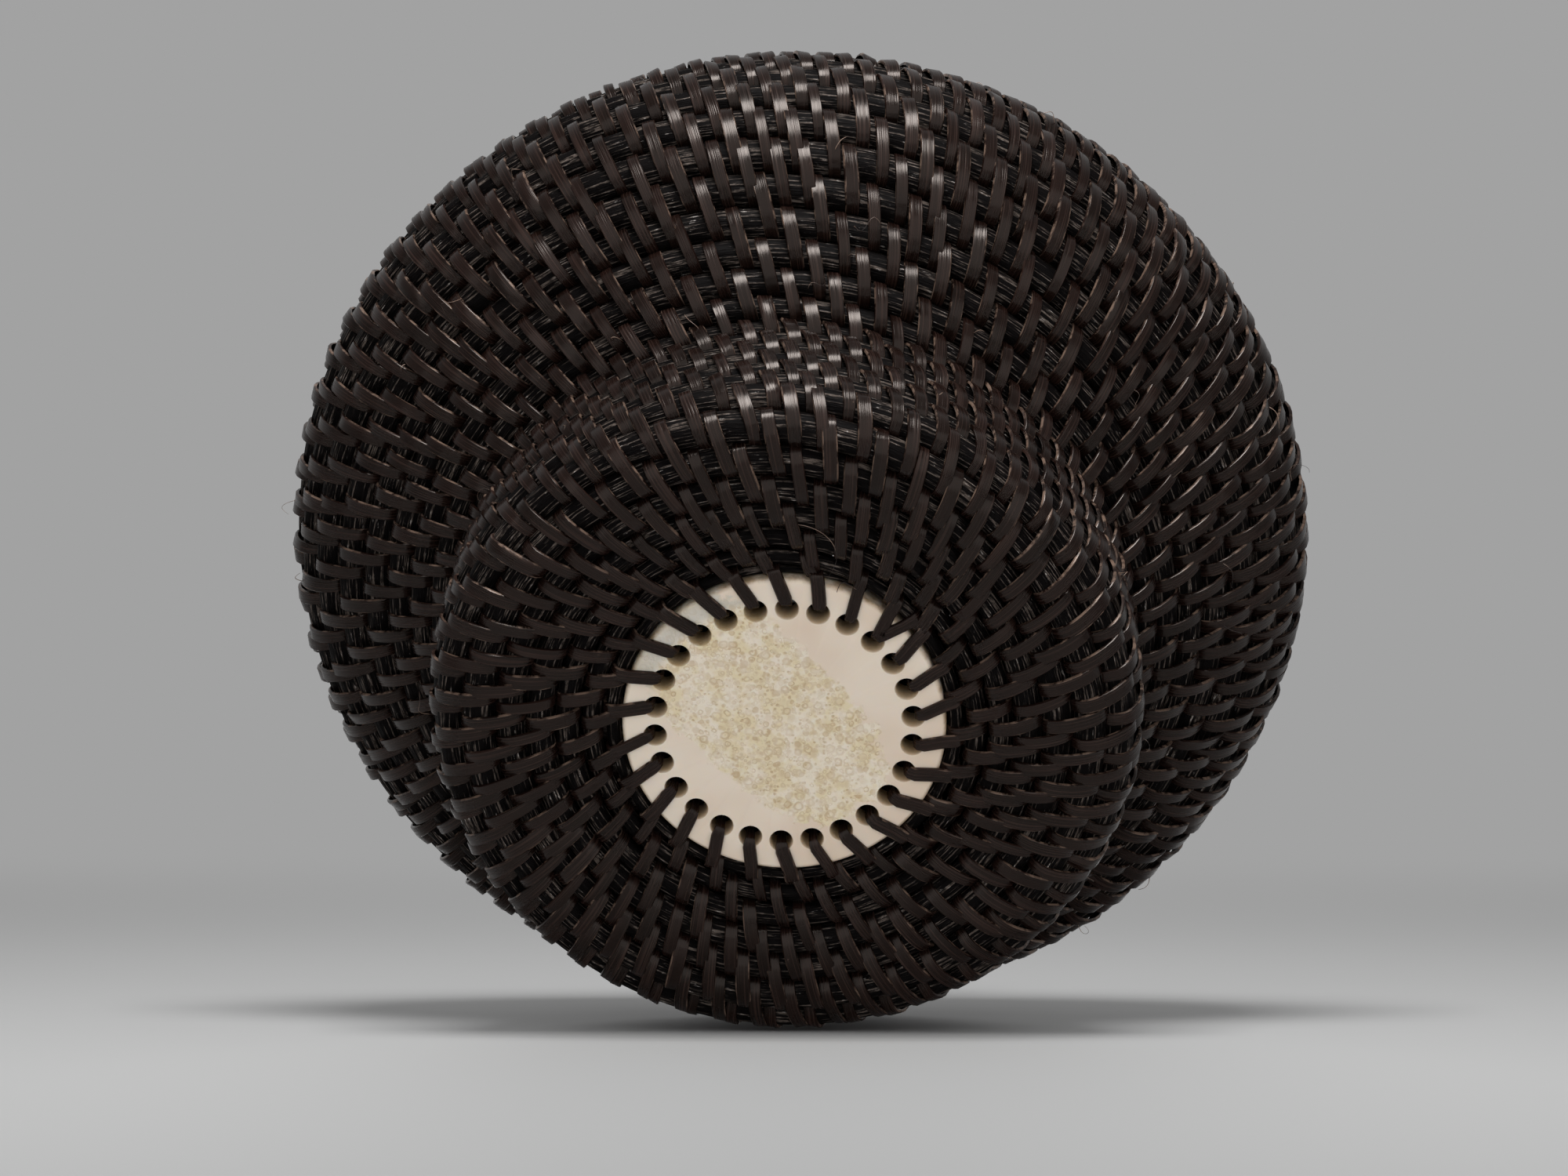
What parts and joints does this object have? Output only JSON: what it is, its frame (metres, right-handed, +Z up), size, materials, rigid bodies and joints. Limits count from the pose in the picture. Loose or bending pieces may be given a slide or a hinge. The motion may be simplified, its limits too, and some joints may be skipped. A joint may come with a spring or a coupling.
{
  "type": "coiled lidded basket",
  "caption": "Small round coiled basket with a drum foot, a wide belly, a fitted lid and a turned knob; its base starts from a pierced ivory disc.",
  "frame": {"origin": "centre of the foot on the plane that the basket stands on", "axes": "+Z up through the knob, the axis that the coil winds about; +Y is the side that lies uppermost in the picture, where the basket lies on its side, base to the viewer"},
  "size_m": [0.0976, 0.0977, 0.0839],
  "materials": {
    "baleen_rod": "near-black scraped baleen rod, matte with chalky lengthwise grain",
    "baleen_thong": "split baleen, dark brown with a satin sheen",
    "ivory": "polished walrus ivory, cream rim and bubbly translucent core"
  },
  "bodies": {
    "basket": {"base_disc": "ivory", "base_lacing": "baleen_thong", "foot_base_rod": "baleen_rod", "foot_lower_rod": "baleen_rod", "foot_upper_rod": "baleen_rod", "flare_rod": "baleen_rod", "belly_lower_rod": "baleen_rod", "belly_upper_rod": "baleen_rod", "shoulder_rod": "baleen_rod", "rim_rod": "baleen_rod"},
    "lid": {"lid_disc": "ivory", "lid_lacing": "baleen_thong", "lid_crown_rod": "baleen_rod", "lid_edge_rod": "baleen_rod", "lid_flange_rod": "baleen_rod", "finial_knob": "ivory", "finial_peg": "baleen_thong"}
  },
  "joints": [
    {"name": "lid_lift", "type": "slide", "parent": "basket", "child": "lid", "axis": [0, 0, 1], "range_m": [0, 0.06]}
  ]
}
